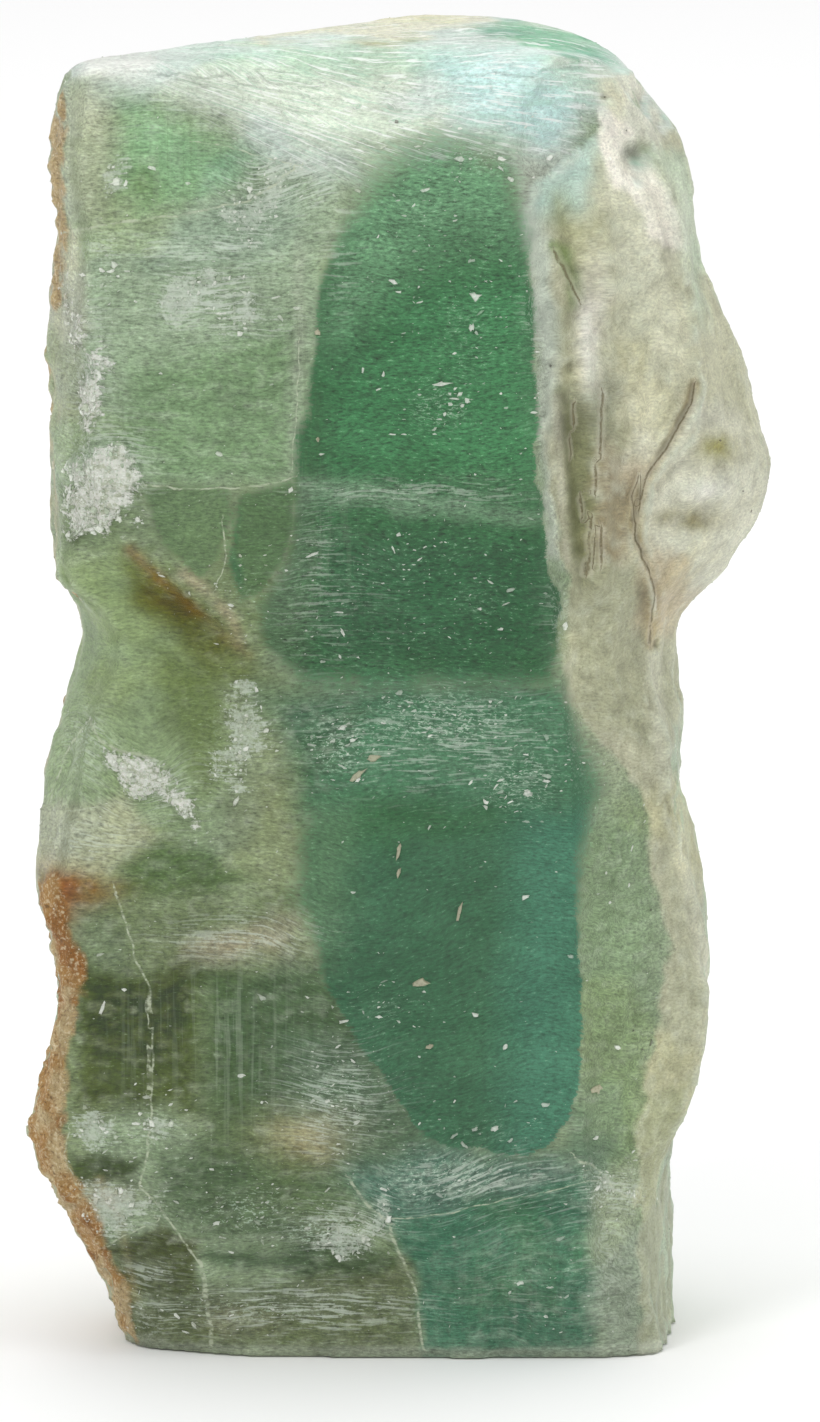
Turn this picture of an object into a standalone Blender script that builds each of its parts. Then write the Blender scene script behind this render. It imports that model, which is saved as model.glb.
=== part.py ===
"""A raw block of green calcite that stands on one sawn end.

The block is one stone. Its upright faces are lofted through level sections whose corners
follow the outlines measured on the front. Cleavage planes then break the corners, a cutter
shaped like the crown takes off the top, and the weathered relief (notch, ledges, knob,
etched pits, rind lumps) is pushed into the closed surface before it is thinned out and
sawn flat.

Run it with: blender --background --python part.py
Lengths are millimetres until the finished mesh is scaled to metres. +Z is up, the
photographed face looks towards -Y, and the origin is under the middle of the base.
"""

import math

import bmesh
import bpy
import numpy as np
from mathutils import Matrix, Vector
from mathutils import noise

MM = 0.001
STONE = "calcite_block"

# Driving dimensions, in millimetres.
SAW_CUT = 0.0
BLANK_BOTTOM = -6.0
BLANK_TOP = 156.0
SECTION_STEP = 3.0
VOXEL = 1.5
MOST_TRIANGLES = 9200
SHARP_ANGLE = 40.0
COLOUR = (0.29, 0.47, 0.34, 1.0)

# The left edge of the front view: (x, z) from the base to the crown.
LEFT_OUTLINE = [
    (-29.4, -6), (-30.1, 1), (-33.9, 8.5), (-36.8, 15.5), (-39.1, 20.5), (-39.8, 24),
    (-38.7, 30), (-36.9, 37), (-36.8, 44), (-38.8, 49), (-39.2, 54), (-38.3, 61), (-37.1, 68),
    (-36.0, 73.5), (-34.0, 76.5), (-33.3, 79.5), (-34.8, 82), (-37.7, 85), (-37.7, 92),
    (-37.2, 104), (-37.8, 116), (-36.5, 123), (-37.1, 131), (-36.9, 140), (-35.4, 145),
    (-35.4, 156),
]
# The right edge of the front view, with the knob at its widest.
RIGHT_OUTLINE = [
    (31.1, -6), (31.4, 3), (31.8, 10), (30.4, 15), (30.4, 22), (33.0, 29), (34.7, 38),
    (33.9, 45), (34.1, 56), (31.9, 65), (31.3, 75), (33.7, 80), (38.4, 85), (40.4, 90),
    (39.9, 94), (39.5, 99), (38.0, 107), (35.8, 113), (33.1, 117.5), (34.0, 124), (33.2, 131),
    (29.0, 135), (26.2, 140), (24.8, 146), (25.0, 156),
]
# The rounded ridge in front of the right side, and the edge where the front face ends.
RIGHT_RIDGE = [
    (29.6, -6), (29.4, 8), (29.6, 18), (32.0, 28), (33.4, 37), (31.8, 48), (29.2, 60),
    (28.4, 70), (27.4, 78), (31.5, 86), (33.5, 93), (32.6, 104), (31.2, 113), (30.4, 121),
    (28.6, 130), (25.0, 136), (21.5, 141), (20.0, 156),
]
WINDOW_EDGE = [
    (21.5, -6), (21.0, 20), (19.8, 50), (19.5, 64), (17.6, 80), (16.2, 94), (14.8, 107),
    (13.2, 124), (12.4, 140), (12.0, 156),
]
# How far the front and the back stand from the middle plane: (y, z).
FRONT_PROFILE = [
    (-24.6, -6), (-25.2, 12), (-26.2, 30), (-26.6, 50), (-26.2, 62), (-24.9, 69),
    (-23.7, 75), (-24.4, 82), (-25.6, 94), (-26.0, 110), (-25.6, 128), (-24.6, 156),
]
# How far behind the front face its left corner and the right ridge sit.
LEFT_SETBACK = [(5.4, -6), (4.6, 6), (2.8, 20), (2.2, 40), (2.2, 110), (3.4, 150)]
RIDGE_SETBACK = [(2.0, -6), (2.6, 4), (8.0, 14), (11.0, 28), (11.0, 156)]
# Other corners of a level section: how far along a face or round a corner they sit.
FACE_RUN = 14.0
EDGE_ROUND = 2.6
LEFT_SIDE = 10.0
RIGHT_SIDE = 17.5
BACK_LEFT_TURN = (2.0, 20.0)
BACK_LEFT_RUN = (15.0, 4.0)
BACK_RIGHT_TURN = 13.0
BACK_RIGHT_RUN = (11.0, 1.5)
BACK_PROFILE = [
    (23.5, -6), (24.5, 15), (27.0, 40), (25.5, 70), (27.5, 98), (25.5, 118), (21.0, 136), (16.0, 156),
]
# The back corners, which don't follow the notch and the knob: (x, z).
BACK_LEFT = [(-29.0, -6), (-33.5, 28), (-36.5, 58), (-34.5, 92), (-35.0, 120), (-32.0, 156)]
BACK_RIGHT = [(27.0, -6), (31.0, 34), (29.0, 62), (33.0, 96), (31.5, 122), (27.0, 156)]

# Cleavage planes that broke the upper and lower corners: a point on each, and the way it faces.
CLEAVAGE = [
    ((-14.0, 0.0, 144.0), (-0.46, 0.53, 0.71)),
    ((-31.0, 17.0, 66.0), (-0.74, 0.66, 0.10)),
    ((26.0, 17.0, 118.0), (0.60, 0.72, 0.34)),
    ((26.0, 20.0, 16.0), (0.64, 0.72, -0.12)),
]

# The crown: where its two bevels meet on the front edge, their slopes, and the crest behind.
BEVEL_FOOT = (-5.0, -26.0, 131.8)
LEFT_BEVEL_SLOPE = (-0.37, 0.56)
RIGHT_BEVEL_SLOPE = (0.31, 0.56)
# The crest and what falls away from it: a point on each plane, and its slope along x and y.
CROWN_PLANES = [
    ((-10.0, 5.0, 142.2), (0.012, 0.03)),
    ((14.0, 6.0, 142.7), (-0.24, 0.0)),
    ((23.0, 6.0, 141.0), (-1.15, -0.10)),
    ((5.0, 17.0, 141.8), (-0.06, -0.75)),
    ((-34.0, -18.0, 142.6), (1.4, 0.0)),
]
CROWN_FILLET = 1.6
CUTTER_STEP = 1.5
CUTTER_MARGIN = 10.0


def along(outline, z):
    """The first value of an outline at height z, between its points."""
    return float(np.interp(z, [point[1] for point in outline], [point[0] for point in outline]))


def section(z):
    """The level section at height z: its corners, anticlockwise seen from above."""
    left = along(LEFT_OUTLINE, z)
    right = along(RIGHT_OUTLINE, z)
    ridge = along(RIGHT_RIDGE, z)
    window = along(WINDOW_EDGE, z)
    front = along(FRONT_PROFILE, z)
    back = along(BACK_PROFILE, z)
    left_setback = along(LEFT_SETBACK, z)
    ridge_setback = along(RIDGE_SETBACK, z)
    back_left = along(BACK_LEFT, z)
    back_right = along(BACK_RIGHT, z)
    corners = [
        (left + EDGE_ROUND, front + left_setback),
        (left + FACE_RUN, front + 0.2 * left_setback),
        (window - FACE_RUN, front),
        (window, front + 0.3),
        (0.5 * (window + ridge), front + 0.38 * ridge_setback),
        (ridge, front + ridge_setback),
        (right, front + 0.5 * ridge_setback + RIGHT_SIDE),
        (back_right, back - BACK_RIGHT_TURN),
        (back_right - BACK_RIGHT_RUN[0], back - BACK_RIGHT_RUN[1]),
        (0.5 * (back_left + back_right), back),
        (back_left + BACK_LEFT_RUN[0], back - BACK_LEFT_RUN[1]),
        (back_left + BACK_LEFT_TURN[0], back - BACK_LEFT_TURN[1]),
        (left, front + LEFT_SIDE),
    ]
    return [(x, y, z) for x, y in corners]


def blank():
    """The uncut block, lofted through its level sections."""
    mesh = bmesh.new()
    heights = np.arange(BLANK_BOTTOM, BLANK_TOP + SECTION_STEP / 2, SECTION_STEP)
    rings = [[mesh.verts.new(corner) for corner in section(z)] for z in heights]
    count = len(rings[0])
    for low, high in zip(rings, rings[1:]):
        for i in range(count):
            j = (i + 1) % count
            mesh.faces.new((low[i], low[j], high[j], high[i]))
    mesh.faces.new(list(reversed(rings[0])))
    mesh.faces.new(rings[-1])
    bmesh.ops.recalc_face_normals(mesh, faces=mesh.faces)
    return mesh


def cleave(mesh, point, facing):
    """Breaks away what lies outside a plane and closes the break."""
    everything = mesh.verts[:] + mesh.edges[:] + mesh.faces[:]
    cut = bmesh.ops.bisect_plane(
        mesh, geom=everything, plane_co=point, plane_no=facing, clear_outer=True, dist=1e-5
    )
    edges = [item for item in cut["geom_cut"] if isinstance(item, bmesh.types.BMEdge)]
    bmesh.ops.holes_fill(mesh, edges=edges, sides=0)
    bmesh.ops.recalc_face_normals(mesh, faces=mesh.faces)


def plane_height(x, y, point, slope):
    """The height at (x, y) of a plane through a point."""
    return point[2] + slope[0] * (x - point[0]) + slope[1] * (y - point[1])


def blended(a, b, fillet, sign):
    """The lower (sign 1) or higher (sign -1) of two heights, rounded where they meet."""
    share = max(0.0, fillet - abs(a - b)) / fillet
    chosen = min(a, b) if sign > 0 else max(a, b)
    return chosen - sign * share * share * fillet / 4


def crown_height(x, y):
    """How high the stone stands at (x, y): two bevels that fold inwards, then the crest."""
    left_bevel = plane_height(x, y, BEVEL_FOOT, LEFT_BEVEL_SLOPE)
    right_bevel = plane_height(x, y, BEVEL_FOOT, RIGHT_BEVEL_SLOPE)
    height = blended(left_bevel, right_bevel, 3 * CROWN_FILLET, -1)
    for point, slope in CROWN_PLANES:
        height = blended(height, plane_height(x, y, point, slope), CROWN_FILLET, 1)
    return height


def crown_cutter():
    """A block whose underside is the crown."""
    reach = max(abs(x) for x, _ in LEFT_OUTLINE + RIGHT_OUTLINE) + CUTTER_MARGIN
    mesh = bmesh.new()
    steps = int(2 * reach / CUTTER_STEP)
    bmesh.ops.create_grid(mesh, x_segments=steps, y_segments=steps, size=reach)
    for vertex in mesh.verts:
        vertex.co.z = crown_height(vertex.co.x, vertex.co.y)
    lifted = bmesh.ops.extrude_face_region(mesh, geom=mesh.faces[:])["geom"]
    for item in lifted:
        if isinstance(item, bmesh.types.BMVert):
            item.co.z = BLANK_TOP + CUTTER_MARGIN
    bmesh.ops.recalc_face_normals(mesh, faces=mesh.faces)
    return mesh


def as_object(mesh, name, scale=1.0):
    """A new object in the scene that holds a bmesh, which is used up."""
    data = bpy.data.meshes.new(name)
    mesh.transform(Matrix.Scale(scale, 4))
    mesh.to_mesh(data)
    mesh.free()
    made = bpy.data.objects.new(name, data)
    bpy.context.scene.collection.objects.link(made)
    return made


def evaluated(source, kind, **settings):
    """The mesh of an object after one modifier, as a bmesh. The object is removed."""
    modifier = source.modifiers.new(kind.title(), kind)
    for name, value in settings.items():
        setattr(modifier, name, value)
    graph = bpy.context.evaluated_depsgraph_get()
    mesh = bmesh.new()
    mesh.from_mesh(bpy.data.meshes.new_from_object(source.evaluated_get(graph)))
    bpy.data.objects.remove(source)
    return mesh


def ramp(value, low, high):
    """0 up to low, 1 from high on, and straight between."""
    return min(1.0, max(0.0, (value - low) / (high - low)))


def bump(point, centre, radii, height):
    """A smooth swelling, or a hollow where the height is negative."""
    return height * math.exp(-sum(((p - c) / r) ** 2 for p, c, r in zip(point, centre, radii)))


def nearest(x, z, path):
    """Distance in the front view to a path, its side (+ is left), and how far past an end."""
    best, side, past = 1e9, 0.0, 0.0
    for (ax, az), (bx, bz) in zip(path, path[1:]):
        dx, dz = bx - ax, bz - az
        length = math.hypot(dx, dz)
        run = ((x - ax) * dx + (z - az) * dz) / length
        held = min(length, max(0.0, run))
        reach = math.hypot(x - ax - held * dx / length, z - az - held * dz / length)
        if reach < best:
            best = reach
            side = dx * (z - az) - dz * (x - ax)
            past = abs(run - held)
    return best, side, past


def groove(x, z, path, width, depth):
    """A rounded channel along a path."""
    reach = nearest(x, z, path)[0]
    return -depth * math.exp(-((reach / width) ** 2))


def ledge(x, z, path, rise, fade):
    """A step: proud on the path's left, falling back with distance and past the ends."""
    reach, side, past = nearest(x, z, path)
    if side < 0:
        return 0.0
    return rise * min(1.0, reach / STEP_WIDTH) * math.exp(-reach / fade - (past / END_FADE) ** 2)


# Relief of the front face, drawn in the front view as (x, z).
NOTCH_VALLEY = [(-40, 80), (-31, 82), (-23, 80), (-13, 76.5)]
NOTCH_LIP = [(-32, 90), (-26, 86), (-22, 81.5), (-17, 78.5), (-12.5, 77.5)]
UPPER_LEDGE = [(-11, 133.5), (-17, 129.3), (-27, 127.5), (-37, 126.5)]
MIDDLE_LEDGE = [(-29, 97), (-20, 98), (-11.5, 98.5)]
BROKEN_LEDGE = [(-21, 57.5), (-26, 63), (-35, 70)]
RUST_LEDGE = [(-41, 54.5), (-32.5, 54.5), (-28, 56.5)]
FOOT_LEDGE = [(27, 19.5), (20, 18.5), (5, 12.5)]
STEP_WIDTH = 1.4
END_FADE = 3.0
BANDING = 0.35
SAW_MARGIN = (1.0, 6.0)
# The grooves of the right side: they start at this x, on what doesn't face back.
GROOVES_FROM = 12.0
BACKWARD = 0.3
CRACK = [(32, 106), (30.5, 101), (26.5, 96), (26, 91), (27.6, 86), (27.5, 78)]
ETCHED_GROOVES = [
    [(17.6, 125), (19.0, 121), (20.2, 117)],
    [(18.6, 108), (19.2, 100), (19.6, 92)],
    [(21.0, 96), (20.6, 88), (20.4, 84)],
]
# The weathered rind: the size and height of its lumps and etched hollows.
LUMP_SIZE = 17.0
LUMP_HEIGHT = 1.9
DIMPLE_SIZE = 9.0
DIMPLE_DEPTH = 0.8
# Bosses and hollows: centre, radii and height.
BOSSES = [
    ((37, -10, 94), (7, 10, 9), 2.2),
    ((34, -14, 91.5), (5, 6, 1.9), -1.7),
    ((26.7, -17, 131), (2.4, 5, 3.4), -2.6),
    ((25, -19, 124), (5, 6, 8), 1.3),
    ((30, -14, 112), (5, 6, 9), 1.2),
    ((28, -17, 62), (5, 7, 9), 0.9),
    ((30, -14, 36), (6, 8, 11), 1.6),
    ((-35, -25, 77), (12, 9, 8), -2.0),
    ((-24, -25, 71), (10, 8, 6), -0.9),
    ((-32, -24, 97), (4.5, 6, 5.5), 1.0),
    ((-20, 24, 55), (12, 9, 17), 3.2),
    ((14, 27, 84), (13, 8, 15), 3.6),
    ((4, 27, 28), (16, 9, 12), 2.6),
    ((-2, 26, 64), (7, 8, 6), -2.8),
    ((-30, 8, 92), (8, 10, 16), 2.4),
    ((-36, 2, 50), (7, 9, 12), 1.8),
    ((34, 8, 62), (7, 9, 10), -1.8),
    ((36, 6, 94), (7, 9, 12), 2.4),
    ((31, 10, 30), (7, 9, 14), 1.6),
]


def front_relief(x, z):
    """The steps, the valley and the faint level banding of the photographed face."""
    return (
        groove(x, z, NOTCH_VALLEY, 4.2, 2.3)
        + ledge(x, z, NOTCH_LIP, 1.3, 16)
        + ledge(x, z, UPPER_LEDGE, 1.3, 24)
        + ledge(x, z, MIDDLE_LEDGE, 1.0, 14)
        + ledge(x, z, BROKEN_LEDGE, 1.0, 12)
        + ledge(x, z, RUST_LEDGE, 1.0, 9)
        + ledge(x, z, FOOT_LEDGE, 0.4, 9)
        + BANDING * noise.fractal(Vector((x / 14, z / 5, 7.0)), 1.0, 2.0, 3)
    )


def rind_relief(point):
    """The lumps and small etched hollows of the weathered rind."""
    spot = Vector(point)
    lumps = noise.fractal(spot / LUMP_SIZE, 1.0, 2.1, 3)
    between_cells = noise.voronoi(spot / DIMPLE_SIZE)[0][0]
    return LUMP_HEIGHT * lumps - DIMPLE_DEPTH * max(0.0, 1.6 * between_cells - 0.85)


def weather(mesh):
    """Pushes the relief into the surface along its normals."""
    mesh.normal_update()
    moves = []
    for vertex in mesh.verts:
        x, y, z = vertex.co
        front = ramp(-vertex.normal.y, 0.45, 0.80)
        upright = ramp(-vertex.normal.z, -0.9, -0.5)
        move = sum(bump((x, y, z), *boss) for boss in BOSSES)
        if front > 0:
            move += front * front_relief(x, z)
        if x > GROOVES_FROM and vertex.normal.y < BACKWARD:
            move += groove(x, z, CRACK, 0.9, 1.1)
            move += sum(groove(x, z, path, 1.1, 1.3) for path in ETCHED_GROOVES)
        move += (1 - front) * upright * rind_relief((x, y, z))
        moves.append(vertex.normal * move * ramp(z, *SAW_MARGIN))
    for vertex, move in zip(mesh.verts, moves):
        vertex.co += move
    bmesh.ops.smooth_vert(
        mesh, verts=mesh.verts, factor=0.5, use_axis_x=True, use_axis_y=True, use_axis_z=True
    )


def stone_material():
    """Waxy green calcite."""
    material = bpy.data.materials.new("green_calcite")
    material.use_nodes = True
    shader = material.node_tree.nodes["Principled BSDF"]
    shader.inputs["Base Color"].default_value = COLOUR
    shader.inputs["Roughness"].default_value = 0.42
    shader.inputs["Metallic"].default_value = 0.0
    material.diffuse_color = COLOUR
    return material


def centred(mesh):
    """Moves the mesh so that the origin is under the middle of its box, at the base."""
    corners = np.array([vertex.co[:] for vertex in mesh.verts])
    middle = (corners.min(0) + corners.max(0)) / 2
    bmesh.ops.translate(mesh, verts=mesh.verts, vec=(-middle[0], -middle[1], -corners.min(0)[2]))


def calcite_block():
    """The finished stone."""
    mesh = blank()
    for point, facing in CLEAVAGE:
        cleave(mesh, point, facing)
    cutter = as_object(crown_cutter(), "crown_cutter")
    mesh = evaluated(as_object(mesh, "cloven"), "BOOLEAN", operation="DIFFERENCE", object=cutter)
    bpy.data.objects.remove(cutter)
    mesh = evaluated(as_object(mesh, "broken"), "REMESH", mode="VOXEL", voxel_size=VOXEL)
    weather(mesh)
    bmesh.ops.triangulate(mesh, faces=mesh.faces)
    share = MOST_TRIANGLES / len(mesh.faces)
    mesh = evaluated(as_object(mesh, "weathered"), "DECIMATE", ratio=share)
    cleave(mesh, (0, 0, SAW_CUT), (0, 0, -1))
    bmesh.ops.triangulate(mesh, faces=mesh.faces)
    centred(mesh)
    stone = as_object(mesh, STONE, MM)
    stone.data.materials.append(stone_material())
    stone.data.shade_smooth()
    stone.data.set_sharp_from_angle(angle=math.radians(SHARP_ANGLE))
    return stone


def main():
    for leftover in list(bpy.data.objects):
        bpy.data.objects.remove(leftover)
    group = bpy.data.collections.new("raw_green_calcite")
    bpy.context.scene.collection.children.link(group)
    stone = calcite_block()
    bpy.context.scene.collection.objects.unlink(stone)
    group.objects.link(stone)


main()
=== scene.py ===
import functools
import math
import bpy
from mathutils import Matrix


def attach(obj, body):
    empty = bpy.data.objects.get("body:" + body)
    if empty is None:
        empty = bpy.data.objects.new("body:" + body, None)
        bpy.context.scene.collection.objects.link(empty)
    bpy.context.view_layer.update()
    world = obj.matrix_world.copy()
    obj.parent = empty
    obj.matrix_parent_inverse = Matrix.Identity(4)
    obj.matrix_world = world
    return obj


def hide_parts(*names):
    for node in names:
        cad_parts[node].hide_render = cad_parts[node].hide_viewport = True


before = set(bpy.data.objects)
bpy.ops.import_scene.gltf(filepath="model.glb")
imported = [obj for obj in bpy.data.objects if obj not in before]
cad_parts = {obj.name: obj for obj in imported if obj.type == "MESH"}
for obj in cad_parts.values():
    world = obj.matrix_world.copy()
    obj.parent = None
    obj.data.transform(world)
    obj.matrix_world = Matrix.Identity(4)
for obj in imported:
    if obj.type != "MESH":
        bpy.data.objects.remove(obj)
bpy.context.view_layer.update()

from types import SimpleNamespace

import bpy
import numpy as np
from mathutils import Vector
from mathutils.kdtree import KDTree

MM = 0.001
# The fine mesh: the size of its faces in mm, and how many triangles are kept of it.
FINE_STEP = 0.55
MOST_TRIANGLES = 182000
# How many chips lie where they glint, and how many on the crusts.
BRIGHT_CHIPS, CRUST_CHIPS = 4600, 1500
RANDOM_SEED = 20
# How bright the studio lights the front, and what its gloss adds to every colour.
LIGHT, GLOSS = 1.04, 0.042

# The photograph's frame: its size, the size of one of its pixels on the stone, and the camera.
VIEW_W, VIEW_H = 820, 1422
PIXEL = 0.111
DISTANCE = 1400.0
TILT = math.radians(10)
SENSOR = 36.0
AIM_X, AIM_UP = 0.94, 66.01
# Unit vectors of that camera: to its right, backwards and up.
RIGHT = np.array((1.0, 0.0, 0.0))
BACK = np.array((0.0, -math.cos(TILT), math.sin(TILT)))
UP = np.cross(BACK, RIGHT)


# Objects and the camera

def add_object(name, data, place=(0, 0, 0), facing=None):
    """A new object in the scene. A camera or a lamp is turned to look along facing."""
    made = bpy.data.objects.new(name, data)
    bpy.context.scene.collection.objects.link(made)
    made.location = place
    if facing is not None:
        made.rotation_mode = "QUATERNION"
        made.rotation_quaternion = Vector(facing).to_track_quat("-Z", "Y")
    return made


def make_camera():
    data = bpy.data.cameras.new("camera")
    data.sensor_width = SENSOR
    data.lens = SENSOR * DISTANCE / (VIEW_H * PIXEL)
    data.clip_start, data.clip_end = 0.05, 20.0
    place = (RIGHT * AIM_X + UP * AIM_UP + BACK * DISTANCE) * MM
    bpy.context.scene.camera = add_object("camera", data, place, -BACK)


def front_view(points):
    """Where points (mm) stand in the front view, in the photograph's pixels, x right and y down."""
    nearer = DISTANCE / (DISTANCE - points @ BACK)
    u = VIEW_W / 2 + (points @ RIGHT - AIM_X) * nearer / PIXEL
    v = VIEW_H / 2 - (points @ UP - AIM_UP) * nearer / PIXEL
    return np.stack([u, v], axis=1)


# Noise

# The turn from one layer of noise to the next, so that its grid doesn't show.
TURN = np.array(((4, -20, 22), (28, 10, 4), (-10, 20, 20))) / 30


def hashed(cell, seed):
    """A number from 0 to 1 for each integer cell, the same on every run."""
    n = (cell @ (374761393, 668265263, 2147483647) + seed * 1274126177) & 0xFFFFFFFF
    n = ((n ^ (n >> 13)) * 1274126177) & 0xFFFFFFFF
    n = ((n ^ (n >> 16)) * 2246822519) & 0xFFFFFFFF
    return ((n ^ (n >> 15)) & 0xFFFFFF) / 0xFFFFFF


def noise(p, seed):
    """Smooth noise from -1 to 1 with lumps of size 1."""
    low = np.floor(p).astype(np.int64)
    f = p - low
    f = f * f * f * (f * (f * 6 - 15) + 10)
    total = 0.0
    for corner in np.ndindex(2, 2, 2):
        wx, wy, wz = np.where(corner, f, 1 - f).T
        total = total + wx * wy * wz * hashed(low + corner, seed)
    return total * 2 - 1


def layered(points, size, octaves, seed, gain, finer, shift, shape):
    """The weighted mean of noises, each one finer and weaker than the last."""
    total, weight, share = 0.0, 0.0, 1.0
    at = points / np.asarray(size, float)
    for octave in range(octaves):
        at = at @ TURN
        total = total + share * shape(noise(at + shift * octave, seed + octave))
        weight += share
        share *= gain
        at = at * finer
    return total / weight


def fractal(points, size, octaves, seed, gain=0.5):
    """Noise from about -1 to 1 with lumps of the given size (mm, one number or three) and finer ones."""
    return layered(points, size, octaves, seed, gain, 2.03, 17.3, lambda n: n) * 1.6


def ridged(points, size, octaves, seed):
    """Sharp crests, from 0 to 1."""
    return layered(points, size, octaves, seed + 50, 0.5, 2.1, 31.7, lambda n: 1 - np.abs(n))


def cells(points, size, seed):
    """Distance to the nearest of scattered points, in cell sizes."""
    p = points / size
    low = np.floor(p).astype(np.int64)
    near = np.full(len(p), 9.0)
    for step in np.ndindex(3, 3, 3):
        cell = low + step - 1
        spot = np.stack([hashed(cell, seed + k) for k in (1, 2, 3)], axis=1) + cell
        near = np.minimum(near, np.linalg.norm(p - spot, axis=1))
    return near


def smooth(value, low, high):
    t = np.clip((value - low) / (high - low), 0.0, 1.0)
    return t * t * (3 - 2 * t)


def terraces(value):
    """Turns a slope into flat steps with short risers."""
    low = np.floor(value)
    return low + smooth(value - low, 0.5 - 0.16, 0.5 + 0.16)


# Shapes drawn in the front view: each is a flat list of x, y in the photograph's pixels.

def rows(table, count):
    """A flat table as rows of count numbers."""
    return np.array(table, float).reshape(-1, count)


def from_segment(view, a, b):
    """The distance of each point to the straight line from a to b, in pixels."""
    d = b - a
    t = np.clip(((view - a) @ d) / (d @ d), 0, 1)
    return np.hypot(*(view - a - t[:, None] * d).T)


def inside(view, outline):
    """Signed distance (mm) to a closed outline, positive inside it."""
    pts = rows(outline, 2)
    u, v = view.T
    best = np.full(len(view), 1e9)
    within = np.zeros(len(view), bool)
    for a, b in zip(pts, np.roll(pts, -1, axis=0)):
        best = np.minimum(best, from_segment(view, a, b))
        if b[1] != a[1]:
            at = a[0] + (v - a[1]) / (b[1] - a[1]) * (b[0] - a[0])
            within ^= ((a[1] > v) != (b[1] > v)) & (u < at)
    return np.where(within, best, -best) * PIXEL


def beside_path(view, path):
    """Signed distance (mm) to an open path, positive on one side of it."""
    pts = rows(path, 2)
    best, side = np.full(len(view), 1e9), np.ones(len(view))
    for a, b in zip(pts, pts[1:]):
        far = from_segment(view, a, b)
        (dx, dy), (run, rise) = b - a, (view - a).T
        side = np.where(far < best, np.where(dx * rise > dy * run, 1.0, -1.0), side)
        best = np.minimum(best, far)
    return best * side * PIXEL


def off_path(view, path):
    """Distance (mm) to an open path."""
    return np.abs(beside_path(view, path))


def thin_lines(view, lines, seen, wander):
    """The signed distance to the nearest line in its half widths, and the plain distance in mm."""
    across, far = np.full(len(view), 9.0), np.full(len(view), 9.0)
    view = view + wander
    for width, path in lines:
        apart = beside_path(view, path)
        across = np.where(np.abs(apart) < far, apart / width, across)
        far = np.minimum(far, np.abs(apart))
    return across, np.where(seen > 0.02, far, 9.0)


def spot(view, u, v, ru, rv):
    """A soft ellipse, 1 at its centre."""
    return np.exp(-((view[:, 0] - u) / ru) ** 2 - ((view[:, 1] - v) / rv) ** 2)


def amount_of(view, table):
    """The strongest of a flat table of soft ellipses."""
    best = np.zeros(len(view))
    for u, v, ru, rv, amount in rows(table, 5):
        best = np.maximum(best, amount * spot(view, u, v, ru, rv))
    return best


UPPER_WINDOW = [
    398,158, 372,184, 352,214, 334,250, 319,286, 320,345, 309,392, 298,440, 293,490, 286,556, 262,606,
    262,646, 300,680, 390,692, 470,690, 554,684, 560,640, 562,592, 546,560, 542,505, 534,445, 537,400,
    535,345, 530,280, 521,216, 511,168, 470,146, 430,142,
]
LOWER_WINDOW = [
    318,800, 300,850, 296,905, 318,950, 322,978, 345,1016, 362,1046, 382,1072, 397,1102, 416,1127, 440,1144,
    482,1150, 530,1159, 556,1144, 570,1120, 577,1096, 583,1050, 583,990, 577,950, 576,890, 577,862, 586,832,
    600,780, 560,690, 460,688, 380,690, 350,740,
]
RECESS = [
    [145,492, 178,486, 228,489, 231,520, 217,558, 200,576, 166,546],
    [238,498, 264,488, 296,482, 295,530, 284,560, 262,592, 241,602, 228,566],
]
FLANK = [
    60,556, 126,548, 142,575, 168,612, 200,642, 226,668, 222,726, 196,790, 166,772, 130,748, 90,724, 66,716,
    40,690, 60,640, 40,600,
]
CRUMBS = [
    [62,508, 70,470, 92,446, 122,450, 142,482, 128,512, 104,540, 76,540],
    [72,300, 92,340, 112,366, 100,392, 92,440, 76,432, 86,372, 72,340],
    [90,724, 102,742, 128,754, 160,766, 190,798, 208,830, 192,836, 174,808, 150,794, 126,780, 108,760,
     94,742],
]
FROSTS = [
    [160,300, 172,274, 206,268, 232,278, 214,300, 190,318, 176,330, 162,326],
    [200,318, 226,292, 252,300, 246,322, 222,340, 190,350],
    [240,188, 262,170, 310,160, 296,186, 268,236, 242,246, 236,216],
    [76,1112, 98,1106, 114,1126, 104,1150, 84,1152, 74,1134],
    [138,1116, 160,1112, 172,1128, 158,1140, 140,1136],
    [84,1184, 126,1186, 162,1206, 150,1226, 110,1246, 92,1222],
    [322,1244, 350,1226, 386,1204, 390,1222, 372,1240, 340,1250], [596,1184, 618,1180, 640,1196, 610,1200],
    [104,176, 120,172, 124,184, 110,192],
    [222,742, 232,712, 244,694, 258,710, 262,742, 256,776, 236,800, 222,780],
]
RUST = [
    [30,880, 54,880, 68,906, 66,936, 80,962, 79,1010, 72,1050, 68,1100, 64,1128, 66,1156, 76,1180, 92,1210,
     106,1240, 114,1262, 124,1288, 134,1318, 136,1340, 108,1334, 20,1200, 10,1100],
    [44,86, 60,88, 60,130, 58,180, 62,216, 60,262, 56,300, 30,300],
]
CREAM = [
    604,78, 598,130, 566,158, 534,186, 522,214, 530,262, 541,330, 548,400, 546,452, 556,520, 566,584, 560,640,
    566,700, 590,728, 622,760, 640,800, 652,860, 664,940, 662,1010, 644,1070, 640,1130, 636,1200, 640,1360,
    760,1360, 820,900, 820,300, 700,60, 640,40,
]
RIDGE = [
    638,96, 650,150, 668,188, 678,232, 692,330, 700,392, 690,440, 668,460, 648,480, 640,540, 652,610, 652,700,
    664,746, 664,800, 680,850, 692,900, 706,975, 704,1030, 690,1080, 670,1150,
]
CRACK = [
    694,384, 690,404, 676,428, 665,448, 646,478, 640,500, 635,520, 636,540, 644,560, 654,594, 652,620,
    650,645,
]
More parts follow.
